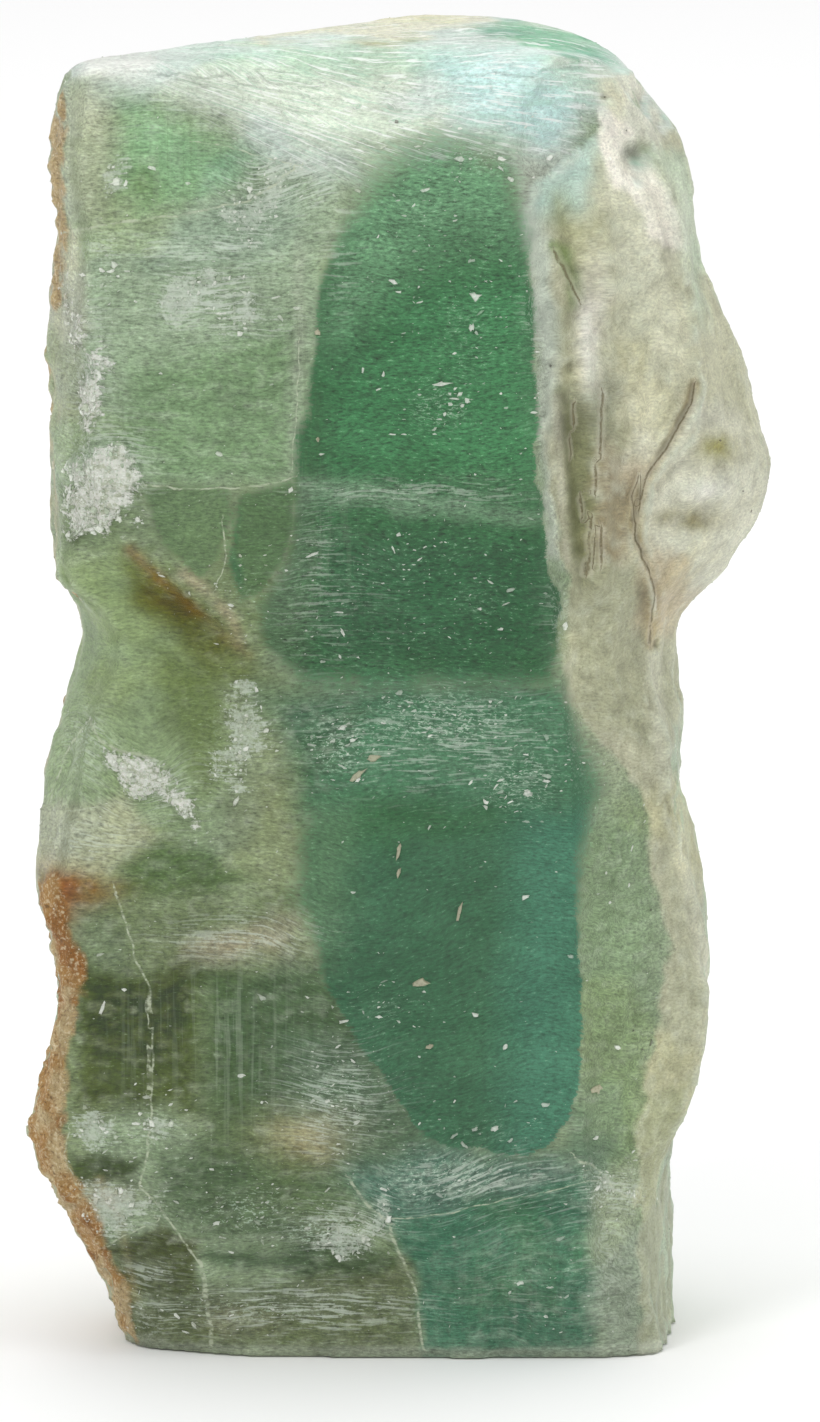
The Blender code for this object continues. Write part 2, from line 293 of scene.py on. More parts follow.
# The crack and the etched slots: half width in mm, path.
DARK_LINES = [
    (0.08, CRACK), (0.06, [638,478, 632,500, 633,522]), (0.13, [556,252, 566,276, 578,300]),
    (0.08, [569,438, 570,456]), (0.11, [603,392, 601,424, 600,456]), (0.13, [590,520, 589,550]),
    (0.22, [586,562, 586,572]), (0.1, [594,466, 596,492]), (0.09, [580,498, 581,516]),
    (0.1, [602,530, 600,564]), (0.07, [574,404, 573,424]),
]
# Small dents and swellings of the front: x, y, radii, mm outwards.
DENTS = [
    605,96,4,4,-0.32, 626,132,3,3,-0.24, 634,152,9,9,-0.72, 570,368,5,5,-0.4, 552,365,4,4,-0.32,
    687,520,34,13,-0.5, 590,290,22,60,-0.7, 575,470,16,80,-0.5, 706,488,34,14,0.5, 588,345,9,44,0.5,
]
CROWN_SHEET = [
    40,40, 650,10, 604,60, 590,104, 580,136, 556,160, 520,150, 470,146, 400,156, 360,176, 320,180, 262,150,
    200,112, 120,86, 50,66,
]

# Painted zones: screen colour, softness of the edge in mm, strength, outline.
FACE = [
    ("96c8a0", 3.6, 0.7, [120,104, 150,100, 190,118, 240,140, 262,156, 236,186, 190,204, 140,212, 118,176]),
    ("b2bca7", 2.4, 0.8, [50,80, 84,84, 114,100, 110,170, 96,222, 50,226]),
    ("9cb092", 1.2, 1, [50,232, 140,222, 300,168, 345,170, 318,300, 300,480, 150,490, 50,480]),
    ("9eb49c", 2, 0.8, [140,232, 240,196, 310,170, 300,240, 250,262, 150,272]),
    ("7c9a70", 3, 0.85, [130,372, 210,340, 296,320, 300,480, 160,486, 110,440]),
    ("bec2ac", 1, 0.9, [50,226, 84,230, 90,330, 80,420, 50,430]),
    ("68805c", 1.5, 0.5, [50,330, 84,346, 84,420, 50,440]),
    ("809270", 1, 1, [60,486, 296,484, 300,560, 290,640, 230,640, 180,600, 130,552, 60,556]),
    ("94a880", 2, 1, [20,560, 120,552, 200,646, 238,690, 240,790, 200,850, 20,850]),
    ("7c8c62", 2.2, 0.9, [120,560, 180,606, 262,664, 290,690, 236,720, 200,690, 150,610]),
    ("6f7a48", 1.6, 0.8, [118,560, 146,560, 180,594, 216,628, 244,650, 240,668, 200,662, 160,632, 124,592]),
    ("728454", 2.4, 0.9, [150,640, 200,668, 236,700, 232,780, 200,800, 170,740]),
    ("8e9c7c", 2, 0.9, [226,690, 300,686, 312,800, 296,900, 220,870]),
    ("aeb49a", 1, 0.9, [30,806, 120,800, 160,836, 150,860, 108,872, 30,868]),
    ("577048", 1.6, 0.9, [118,866, 160,838, 210,850, 250,880, 200,906, 120,900]),
    ("788868", 2, 1, [70,900, 300,890, 312,960, 200,976, 70,984]),
    ("949480", 1.4, 0.8, [186,946, 250,926, 300,906, 312,926, 260,952, 200,974]),
    ("536034", 2.2, 0.9, [70,978, 204,968, 206,1060, 196,1112, 150,1112, 66,1116]),
    ("465222", 1.6, 0.8, [84,978, 194,970, 192,1034, 160,1060, 92,1064]),
    ("4c6444", 2.5, 0.9, [196,962, 330,960, 390,1080, 420,1140, 340,1180, 210,1190]),
    ("5f785e", 3, 0.9, [290,1040, 380,1046, 450,1146, 560,1156, 420,1186, 300,1180]),
    ("44532f", 0.8, 0.9, [62,1150, 146,1156, 140,1184, 74,1184]),
    ("5e7354", 2.5, 0.9, [150,1150, 330,1160, 390,1230, 300,1250, 170,1230]),
    ("525b37", 0.7, 0.95, [104,1246, 160,1222, 196,1240, 200,1300, 128,1296]),
    ("646f50", 2, 0.9, [120,1296, 200,1290, 420,1250, 428,1356, 130,1356]),
    ("4c6245", 0.8, 0.8, [200,1256, 300,1250, 392,1240, 406,1270, 300,1280]),
    ("547a69", 2, 0.9, [350,1176, 440,1146, 590,1156, 590,1196, 400,1246]),
    ("507e64", 0.8, 1, [388,1222, 440,1212, 520,1190, 592,1176, 606,1240, 600,1356, 426,1356, 414,1282]),
    ("749074", 1.5, 0.8, [572,1100, 600,1110, 636,1150, 600,1180, 560,1160]),
    ("b8c0b0", 0.9, 0.9, [510,160, 530,140, 566,150, 566,330, 560,560, 546,560, 537,400, 532,280]),
    ("8ca27e", 2, 1, [578,830, 640,800, 652,900, 646,1080, 630,1150, 584,1130]),
    ("9eac96", 1.5, 0.9, [590,1190, 640,1160, 650,1360, 594,1360]),
    ("52785e", 3, 1, [262,700, 330,684, 560,684, 600,760, 590,820, 300,820]),
    ("a6b292", 2, 0.9, [560,640, 640,640, 660,760, 600,800, 572,760]),
]
SIDE_RIND = [
    ("c0dcd0", 1.8, 0.95, [510,150, 560,120, 604,100, 600,150, 580,210, 520,230]),
    ("bcc6b8", 1, 0.9, [512,186, 530,184, 548,240, 560,330, 556,430, 534,420, 530,280]),
    ("b4b68e", 1.5, 0.8, [562,232, 612,210, 620,330, 606,400, 566,390]),
    ("7c9058", 0.7, 0.9, [552,246, 566,250, 582,300, 572,306]),
    ("ccceb4", 1.5, 0.9, [606,110, 650,150, 676,210, 668,330, 630,340, 612,210]),
    ("dedfce", 1.2, 0.9, [588,58, 640,60, 672,112, 660,150, 604,140, 586,110]),
    ("dcdcc2", 1.5, 0.8, [606,150, 650,200, 690,330, 690,384, 650,340, 618,240]),
    ("f6f2e4", 0.6, 1, [590,110, 622,122, 652,160, 680,206, 688,250, 660,250, 632,204, 606,166]),
    ("e0dcc6", 0.8, 0.5, [600,128, 640,160, 668,192, 676,232, 660,226, 630,176]),
    ("c0d2b8", 1.5, 0.8, [640,150, 690,150, 705,260, 700,330, 684,260, 668,190]),
    ("7e825c", 1.5, 0.9, [556,392, 622,380, 640,480, 620,560, 560,560]),
    ("a09478", 1.5, 0.8, [600,440, 640,470, 634,560, 606,600, 590,520]),
    ("aeb092", 1.5, 0.9, [560,570, 640,560, 652,640, 650,740, 572,720]),
    ("d6d6c2", 1.5, 0.9, [690,400, 765,430, 770,540, 700,610, 650,600, 640,520, 660,470]),
    ("bcac8c", 1.5, 0.7, [640,540, 690,560, 700,600, 656,650, 640,620]),
    ("b4b69a", 1.2, 0.9, [640,640, 684,640, 704,900, 712,1000, 690,1080, 650,1080, 668,960, 660,840]),
    ("a8ae92", 1.5, 0.9, [632,1090, 690,1080, 690,1360, 634,1360]),
]
CROWN = [
    ("bfe0cc", 1.5, 0.8, [180,58, 260,44, 420,44, 480,60, 420,76, 260,70]),
    ("d2f6f2", 2.4, 0.85, [440,60, 530,50, 580,70, 584,118, 548,146, 470,130]),
    ("78bc9c", 1, 0.95, [468,26, 520,20, 590,34, 626,58, 600,62, 540,46, 490,40]),
    ("ecead0", 0.6, 0.95, [250,30, 345,16, 500,12, 488,22, 430,34, 394,42, 356,38, 330,34, 262,44]),
    ("f4f6ee", 1.5, 0.9, [70,46, 160,50, 150,80, 84,74]),
    ("b4c8b2", 2.5, 0.8, [330,150, 400,128, 500,124, 520,150, 400,170, 330,185]),
]
DEEP = [
    ("6c9672", 5, 0.95, [330,120, 540,120, 530,236, 430,250, 340,340]),
    ("4e885d", 4, 0.7, [400,300, 540,270, 540,470, 330,470, 330,380]),
    ("3c6448", 3, 0.8, [320,540, 560,540, 560,660, 320,660]),
    ("5c755a", 3, 0.95, [250,480, 316,480, 312,560, 300,690, 250,690]),
    ("466e54", 3, 0.9, [300,860, 600,800, 600,1180, 300,1180]),
    ("4f8069", 4, 0.9, [520,800, 610,800, 610,1180, 500,1180]),
    ("5a7a5c", 3, 0.9, [280,780, 350,800, 345,900, 330,970, 280,950]),
    ("537e60", 2.6, 0.95, [240,692, 330,680, 600,680, 620,780, 560,812, 480,806, 400,790, 280,800]),
    ("809a80", 0.9, 0.5, [296,476, 380,486, 450,498, 545,512, 556,524, 520,526, 440,514, 360,508, 300,508]),
    ("68805c", 0.9, 1, [130,480, 232,480, 234,520, 222,570, 190,600, 130,560]),
    ("587450", 0.5, 1, [234,480, 298,476, 298,540, 284,570, 262,600, 236,610]),
]
# Soft spots: screen colour, x, y, radii, strength.
SPOTS = [
    ("7a5426", 78, 890, 42, 15, 0.9), ("a65e2e", 54, 898, 24, 28, 0.9), ("a8966e", 310, 1142, 26, 22, 0.6),
    ("a8a888", 300, 1130, 60, 26, 0.4), ("948c5c", 687, 520, 30, 11, 0.9),
    # The pale spot at 706, 490 is a painted highlight on the swelling of the knob.
    ("a8a46a", 722, 448, 26, 15, 0.7), ("eae8dc", 706, 490, 22, 10, 0.7),
    ("f2eee2", 588, 345, 13, 46, 0.85), ("ece8dc", 600, 300, 20, 60, 0.4),
    ("9c9c66", 560, 210, 14, 20, 0.6), ("e4e0d0", 666, 226, 18, 40, 0.6), ("8aa884", 640, 155, 13, 13, 0.7),
    ("a08a5c", 634, 505, 8, 30, 0.6), ("b09c74", 640, 470, 22, 18, 0.5), ("94a078", 268, 770, 24, 60, 0.6),
    ("a89a86", 248, 950, 60, 16, 0.4), ("6e8450", 146, 186, 18, 24, 0.5), ("e8e8d8", 640, 420, 30, 60, 0.5),
    ("c8cdb4", 84, 110, 20, 24, 0.4), ("8c7c4c", 92, 1230, 8, 30, 0.5), ("c4bca8", 100, 1196, 30, 12, 0.6),
    ("a09c80", 240, 1320, 30, 16, 0.5),
]
# Soft lines: screen colour, half width in mm, strength, path.
FACE_LINES = [
    ("a8b09c", 0.8, 0.5, [300,240, 300,330, 295,440, 294,476]),
    ("625c2c", 1.9, 0.85, [154,590, 182,614, 216,636]),
    ("84683c", 0.7, 0.7, [130,550, 160,580, 196,610, 226,638, 250,654]),
    ("bcb09a", 0.8, 0.6, [184,574, 210,594, 232,618, 240,642]),
    ("44542e", 1, 0.4, [176,984, 180,1110]),
    ("a89870", 0.5, 0.5, [100,1180, 120,1220, 136,1300]),
    # A dark line of painted shade along the foot, where the stone meets the floor.
    ("3e4c34", 0.35, 0.8, [130,1344, 420,1352, 660,1352]),
]
RIND_LINES = [
    ("ac9c70", 0.7, 0.75, [694,384, 676,428, 646,478, 635,520, 644,560, 654,594, 650,645]),
    ("dcdcc8", 0.9, 0.5, [652,660, 664,800, 692,900, 706,975]),
    ("94966c", 0.7, 0.6, [589,500, 586,580]),
    ("d8d6c2", 0.7, 0.6, [556,400, 562,500, 566,560]),
    ("eeeade", 0.9, 0.8, [604,124, 622,152, 644,176, 662,204, 672,240]),
]
CROWN_LINES = [
    ("b4b890", 0.4, 0.8, [352,38, 376,43, 396,45, 414,40]),
]
# Crisp pale veins: half width in mm, path.
VEINS = [
    (0.11, [66,232, 96,226, 130,222, 170,216, 200,210, 250,200, 300,166]),
    (0.07, [150,487, 190,490, 230,489, 262,484, 296,477]), (0.06, [222,520, 227,556, 216,590]),
    (0.09, [115,888, 124,920, 136,960, 148,984, 152,1020, 154,1060, 153,1100, 148,1150, 140,1186]),
    (0.05, [146,990, 148,1030, 148,1090]), (0.09, [140,1186, 165,1215, 195,1258, 202,1270]),
    (0.16, [200,1262, 206,1296, 212,1326, 212,1344]),
    (0.12, [350,1180, 368,1206, 385,1222, 404,1260, 416,1292, 424,1350]),
    (0.06, [384,1222, 445,1214, 520,1196, 600,1180]), (0.09, [575,1158, 600,1170, 612,1190, 640,1200]),
    (0.06, [108,1244, 160,1218]), (0.06, [72,812, 100,806, 128,820]), (0.09, [84,726, 62,762, 50,800]),
    (0.05, [300,340, 297,400, 292,470]), (0.13, [92,724, 100,740, 122,752, 150,758]),
    (0.06, [196,140, 240,150, 300,166]), (0.06, [70,1128, 64,1156, 76,1184, 96,1210]),
]
# Where faint upright growth lines show: x, y, radii, amount.
GROWTH = [
    235,1040,62,100,1, 150,1050,50,80,0.5, 170,160,60,60,0.7, 300,380,20,110,0.6, 110,300,40,160,0.4,
    520,1290,100,60,0.35, 640,900,20,200,0.5, 330,560,30,80,0.4,
]
# White haze, broken up along the grain: x, y, radii, amount.
HAZES = [
    290,180,56,34,0.9, 200,250,80,18,0.6, 208,302,56,34,1, 250,322,50,16,0.9, 100,250,40,16,0.6,
    110,460,50,46,0.8, 92,370,24,66,0.8, 420,492,150,14,0.55, 170,790,46,40,0.6, 250,935,70,26,0.7,
    96,1130,24,26,0.4, 152,1128,26,14,0.4, 118,1212,50,28,0.5, 345,1226,56,26,0.8, 146,1273,30,14,0.7,
    320,1308,110,24,0.75, 150,1316,30,22,0.6, 620,1192,44,22,0.8, 480,1176,100,22,0.7, 336,1100,52,56,0.6,
    540,290,20,110,0.6, 640,260,40,110,0.5, 590,350,30,70,0.6, 100,840,50,20,0.6, 90,740,26,50,0.6,
    330,610,60,60,0.4, 440,740,140,50,0.5, 560,620,20,50,0.4, 600,1260,40,70,0.4, 520,1290,60,50,0.3,
    90,320,30,40,0.5, 560,170,40,30,0.7, 340,250,20,60,0.5, 320,560,24,60,0.5, 200,940,60,20,0.5,
]
# Where bright cleavage chips and painted glints gather: x, y, radii, amount.
SPARKLES = [
    465,340,60,110,0.6, 420,215,60,40,0.6, 440,410,50,40,0.8, 410,560,120,60,0.5, 480,600,60,40,0.6,
    340,742,50,40,1, 440,720,110,40,1, 520,780,60,50,0.9, 390,1010,60,30,0.6, 490,1130,60,24,0.6,
    340,1100,60,60,0.8, 440,1180,90,40,0.9, 100,280,40,40,0.7, 200,300,60,40,0.6, 240,590,40,40,0.6,
    210,730,30,60,0.6, 250,1210,80,40,0.8, 330,1230,70,30,1, 560,1290,40,60,0.4, 150,1130,60,40,0.6,
    250,1310,120,30,0.7, 600,1180,40,30,0.8, 490,150,60,40,0.8, 270,180,60,40,0.6, 430,640,120,30,0.5,
]
# Where silky fibres show: x, y, radii, amount.
FIBRES = [
    500,1200,110,40,0.4, 335,1105,55,55,0.5, 285,185,60,30,0.7, 180,100,90,30,0.6, 220,250,80,20,0.5,
    480,740,110,40,0.35, 250,1310,130,30,0.5,
]
# Where the edges of the deep zones dissolve: x, y, radii, softness in mm.
BLURS = [
    430,165,140,80,3.4, 345,225,46,60,1, 300,440,26,70,0.5, 278,580,50,80,1.5, 430,690,200,36,2.6,
    440,780,220,60,3.5, 296,890,60,80,1.8, 590,830,30,60,1, 560,690,60,40,1.2,
]
# Slanting grain: x, y, radii, slope up to the right.
SLANTS = [
    500,1200,130,70,0.3, 330,1100,60,60,-0.08, 290,185,60,40,0.35, 450,980,150,190,0.3, 300,1235,70,30,0.15,
    110,760,60,60,-0.6, 470,740,160,50,-0.05,
]
# Single flecks: x, y, length and width in pixels, turn in degrees, kind (0 white, 1 beige, 2 dark).
FLECKS = [
    477,298,14,11,10,0, 471,327,11,6,80,0, 397,121,8,7,30,2, 418,95,3,2,0,2, 438,382,34,6,4,0,
    458,396,10,5,40,0, 463,406,8,5,60,0, 365,370,9,4,80,0, 381,376,8,4,80,0, 315,333,8,8,0,1, 398,537,8,5,0,0,
    312,555,14,4,20,0, 480,609,8,5,20,0, 566,628,10,8,60,0, 345,633,14,4,-60,0, 340,612,14,3,0,0,
    352,742,12,6,20,0, 356,776,22,9,40,1, 372,756,18,8,0,1, 401,852,26,6,80,1, 398,870,14,6,75,1,
    352,893,8,5,0,0, 460,912,28,5,78,1, 525,897,14,7,20,0, 417,981,24,11,8,1, 345,1020,14,4,10,0,
    377,1017,10,4,0,0, 475,1014,8,7,0,0, 427,1046,9,6,30,1, 505,1047,9,5,70,0, 596,1091,14,13,30,1,
    497,1129,12,6,30,0, 595,1137,9,6,10,0, 650,1045,9,3,70,2, 642,1051,4,3,0,2, 632,1029,3,3,0,2,
    651,908,3,3,0,2, 102,1007,16,4,70,0, 242,1077,9,6,0,0, 522,1281,9,7,20,0, 545,1315,8,5,0,0,
    215,1225,12,6,10,0, 116,180,14,9,20,0, 552,366,4,4,0,2, 605,96,4,4,0,2, 626,132,3,3,0,2, 744,490,5,3,60,2,
    720,441,4,3,0,2, 752,510,5,3,60,2, 182,756,3,2,0,2, 148,837,3,2,0,2, 170,632,3,2,0,2, 232,700,3,2,0,2,
    290,490,8,6,60,0, 318,440,7,6,0,1, 447,412,9,5,70,0, 420,300,12,3,10,0, 400,290,9,3,0,0,
]


# The fine mesh

def vectors(items, name):
    """A property of three numbers, such as a place, of every item, as rows."""
    flat = np.empty(len(items) * 3, np.float32)
    items.foreach_get(name, flat)
    return flat.reshape(-1, 3)


def evaluated(piece):
    """The mesh of an object with its modifiers applied. The object itself is removed."""
    graph = bpy.context.evaluated_depsgraph_get()
    mesh = bpy.data.meshes.new_from_object(piece.evaluated_get(graph))
    bpy.data.objects.remove(piece)
    return mesh


def grid_of(node):
    """A closed copy of the CAD node in even small faces."""
    copy = add_object("block_copy", node.data.copy())
    remesh = copy.modifiers.new("Remesh", "REMESH")
    remesh.mode = "VOXEL"
    remesh.voxel_size = FINE_STEP * MM
    return evaluated(copy)


class Surface:
    """Vertex positions of a mesh in mm, with its neighbours, for moving it about."""

    def __init__(self, mesh):
        self.mesh = mesh
        self.points = vectors(mesh.vertices, "co").astype(float) / MM
        pairs = np.empty(len(mesh.edges) * 2, np.int32)
        mesh.edges.foreach_get("vertices", pairs)
        self.pairs = pairs.reshape(-1, 2)
        self.degree = np.bincount(pairs, minlength=len(self.points))[:, None]

    def spread(self, values):
        """The mean of each vertex's neighbours."""
        a, b = self.pairs.T
        count = len(values)
        sums = [np.bincount(a, column[b], count) + np.bincount(b, column[a], count) for column in values.T]
        return np.stack(sums, axis=1) / self.degree

    def smoothed(self, values, rounds):
        for _ in range(rounds):
            values = values + 0.5 * (self.spread(values) - values)
        return values

    def store(self):
        self.mesh.vertices.foreach_set("co", (self.points * MM).astype(np.float32).ravel())
        self.mesh.update()

    def normals(self):
        self.store()
        return vectors(self.mesh.vertex_normals, "vector").astype(float)


def soften(surface):
    """Takes the facets off the copy and leaves its real edges."""
    start = surface.points.copy()
    soft = surface.smoothed(start, 22)
    apart = np.linalg.norm(soft - start, axis=1)
    keep = surface.smoothed(smooth(apart, 0.22, 0.7)[:, None], 3)
    surface.points = soft + (surface.smoothed(start, 3) - soft) * keep * 0.75
    on_base = start[:, 2] < 0.05
    surface.points[on_base] = start[on_base]
    surface.points[:, 2] = np.maximum(surface.points[:, 2], 0.0)


def fields_of(points, normals):
    """Everything that the shapes and the colours need to know at each vertex."""
    view = front_view(points)
    wobble = fractal(points, 3.5, 4, 3)
    rough = fractal(points, 1.4, 3, 9)
    f = SimpleNamespace(view=view, p=points, n=normals, wobble=wobble, rough=rough)
    nx, ny, nz = normals.T
    f.facing = normals @ BACK
    f.front = smooth(-ny, 0.12, 0.42)
    f.seen = smooth(f.facing + 0.12 * wobble, 0.0, 0.26)
    top = smooth(points[:, 2], 118, 126)
    f.crown = smooth(nz, 0.50, 0.72) * top
    f.face = f.front * (1 - f.crown)
    f.sheet = np.maximum(f.crown, smooth(inside(view, CROWN_SHEET) + 1.2 * wobble, -2.6, 2.6) * top * f.seen)
    f.right, f.left = smooth(nx, 0.25, 0.65), smooth(-nx, 0.35, 0.75)
    f.back, f.base = smooth(ny, 0.2, 0.7), smooth(-nz, 0.9, 0.97)
    only_front = -16 * (1 - f.seen) ** 2

    def zone(outlines, amount):
        best = np.full(len(points), -30.0)
        for outline in outlines:
            best = np.maximum(best, inside(view, outline))
        return best + amount * wobble + 0.4 * amount * rough + only_front

    # The deep zones go right through the stone, and come out at the back in another shape.
    through = -16 * (1 - np.maximum(f.seen, f.back)) ** 2 - only_front
    through -= f.back * (1.5 + 6 * fractal(points, (13, 13, 20), 4, 77))
    f.window = zone([UPPER_WINDOW], 0.6) + through
    f.pool = zone([LOWER_WINDOW], 0.5) + through
    f.recess = zone(RECESS, 0.3)
    f.flank = zone([FLANK], 0.8)
    f.crumb = zone(CRUMBS, 1.3)
    f.frost = zone(FROSTS, 1.8)
    turned = smooth(-nx, 0.3, 0.7) * (1 - f.seen)
    f.rust = np.maximum(zone(RUST, 0.9), 3.2 * fractal(points, 10, 4, 47) - 1.3 - 9 * (1 - turned))
    f.cream = zone([CREAM], 0.8)
    f.crack = off_path(view, CRACK) + 0.15 * wobble - only_front
    f.haze = amount_of(view, HAZES) * f.seen
    # How much of the creamy rind and of the smooth left flank there is, from 0 to 1.
    f.creamy = smooth(f.cream, -0.6, 0.8)
    f.waxen = smooth(f.flank, -0.5, 1.5)
    return f


def relief(f):
    """How far each vertex moves out along its normal, in mm."""
    p, view, rough = f.p, f.view, f.rough
    side = (1 - f.front) * (1 - f.base) * (1 - f.crown)
    broken = f.face * (1 - f.creamy)
    move = 0.05 * fractal(p, 1.3, 2, 6)
    # Cleavage: low steps that run nearly level on the face, with ragged edges.
    slope = 2.6 * fractal(p, (24, 24, 7), 3, 21) + 0.30 * rough + 0.25 * f.wobble
    move += broken * (1 - 0.85 * f.waxen) * 0.14 * terraces(slope)
    ripples = ridged(p - np.outer(p[:, 0], (0, 0, 0.08)), (4.5, 4.5, 1.5), 3, 5)
    move += broken * (0.16 - 0.10 * f.waxen) * (ripples - 0.6)
    glint = amount_of(view, SPARKLES) * f.face
    move += glint * 0.14 * (ridged(p, (2.6, 2.6, 1.7), 2, 71) - 0.6)
    # Crusts.
    lumps = 1 - cells(p @ TURN, 1.5, 11)
    move += smooth(f.crumb, -0.3, 0.8) * (0.10 + 0.55 * lumps + 0.30 * rough)
    move += smooth(f.frost, -0.3, 0.9) * (0.02 + 0.16 * lumps + 0.1 * rough)
    move += smooth(f.rust, -0.3, 0.5) * (0.10 + 0.40 * lumps + 0.35 * rough)
    # The rind of the sides: lumps, etched hollows and fine pitting.
    rind = np.maximum(0.45 * f.creamy * f.front, side)
    hollows = cells(p @ TURN, 7.5, 4) + 0.15 * f.wobble
    move += rind * (0.75 * fractal(p, 8.5, 4, 2) + 0.5 * (ridged(p, (5, 5, 7), 4, 12) - 0.7)
                    - 0.35 * smooth(0.36 - hollows, 0, 0.3) + 0.14 * f.front * fractal(p, 1.7, 2, 8))
    # The crack with its lips, the dents, and the ridge line of the right side.
    move += 0.16 * np.exp(-((f.crack - 0.9) / 0.5) ** 2) - 0.16 * np.exp(-(f.crack / 0.4) ** 2)
    for u, v, ru, rv, out in rows(DENTS, 5):
        move += f.front * out * spot(view, u, v, ru, rv)
    ridge = off_path(view, RIDGE) + 0.5 * f.wobble
    move += 0.55 * np.exp(-(ridge / 0.9) ** 2) * smooth(f.front, 0.1, 0.6) * (1 + 0.8 * f.wobble)
    # Crown: splintered along its fibres, in low sheets.
    fan = fan_of(f)
    sheets = terraces(2.2 * fractal(fan, (16, 2.2, 16), 3, 33) + 0.3 * rough)
    spread = smooth(fan[:, 0], 5, 16) * f.seen
    splinters = 0.12 * sheets + 0.10 * fractal(fan, (9, 1.2, 9), 2, 35) + 0.2 * fractal(p, 9, 3, 14)
    move += f.crown * spread * splinters
    # The sawn base stays flat.
    return move * smooth(p[:, 2], 0.4, 2.5)


def grain_of(f):
    """Coordinates in mm along and across the grain, which runs nearly level."""
    p, view = f.p, f.view
    along = p[:, 0] + 0.8 * p[:, 1] * f.left + p[:, 1] * f.right
    across = p[:, 2] + 0.5 * fractal(p, 7, 2, 5)
    for u, v, ru, rv, slope in rows(SLANTS, 5):
        near = np.exp(-(((view[:, 0] - u) / ru) ** 2 + ((view[:, 1] - v) / rv) ** 2) ** 2)
        across = across - slope * (view[:, 0] - u) * PIXEL * near * f.face
    return np.stack([along, across, p[:, 1]], axis=1)


def fan_of(f):
    """The same for the fibres of the crown, which fan out from its left end."""
    left_end, typical_radius = (70, 46), 38
    run, drop = (f.view - left_end).T * PIXEL
    # On the flat top the fibres fan out in plan.
    drop = np.where(f.n[:, 2] > 0.86, -0.5 * (f.p[:, 1] + 6), drop)
    return np.stack([np.hypot(run, drop), typical_radius * np.arctan2(drop, run), 0 * run], axis=1)


# Colour

def linear(colour):
    """Linear light from a screen colour such as 94a686."""
    c = np.array([int(colour[k:k + 2], 16) for k in (0, 2, 4)], float) / 255
    return np.where(c <= 0.04045, c / 12.92, ((c + 0.055) / 1.055) ** 2.4)


def mixed(ground, *layers):
    """The ground with layers over it: each is a screen colour, or a colour for each vertex, and its share."""
    for colour, share in layers:
        colour = linear(colour) if isinstance(colour, str) else colour
        ground = ground + (colour - ground) * np.clip(share, 0, 1)[:, None]
    return ground


def painted(f, under, zones, lines=()):
    """One screen colour with zones and lines painted over it."""
    ground = np.ones((len(f.p), 1)) * linear(under)
    for colour, soft, strength, outline in zones:
        share = smooth(inside(f.view, outline) + 0.9 * f.wobble, -soft, soft) * strength
        ground = mixed(ground, (colour, share))
    for colour, width, strength, path in lines:
        share = strength * (0.75 + 0.5 * f.wobble) * np.exp(-(off_path(f.view, path) / width) ** 2)
        ground = mixed(ground, (colour, share))
    return ground


def other_sides(f):
    """The sides that the photograph doesn't show: broken green, frosted bands and weathered rind."""
    p = f.p
    greener = smooth(fractal(p, (34, 34, 46), 4, 61) - 0.3 * f.left, -0.15, 0.3)
    level = smooth(fractal(p, (36, 36, 4), 4, 19), 0.16, 0.5) * f.back
    rind = smooth(fractal(p, 18, 3, 88) + 0.4 * f.right + 0.35 * f.left - 0.3 * f.back, -0.2, 0.35)
    low = 1 - smooth(p[:, 2], 60, 78)
    rusty = f.left * smooth(fractal(p, 14, 3, 41) + 0.12, -0.2, 0.4)
    return mixed(painted(f, "8aa682", ()), ("6c9470", greener), ("b4c2ac", 0.5 * level),
                 ("babca2", rind * 0.9), ("c8c8b0", f.right * (1 - low) * 0.8),
                 ("bccdb4", f.right * np.clip(low + 0.5 * (p[:, 2] > 112), 0, 1) * 0.75),
                 ("b8a683", rusty * 0.6))


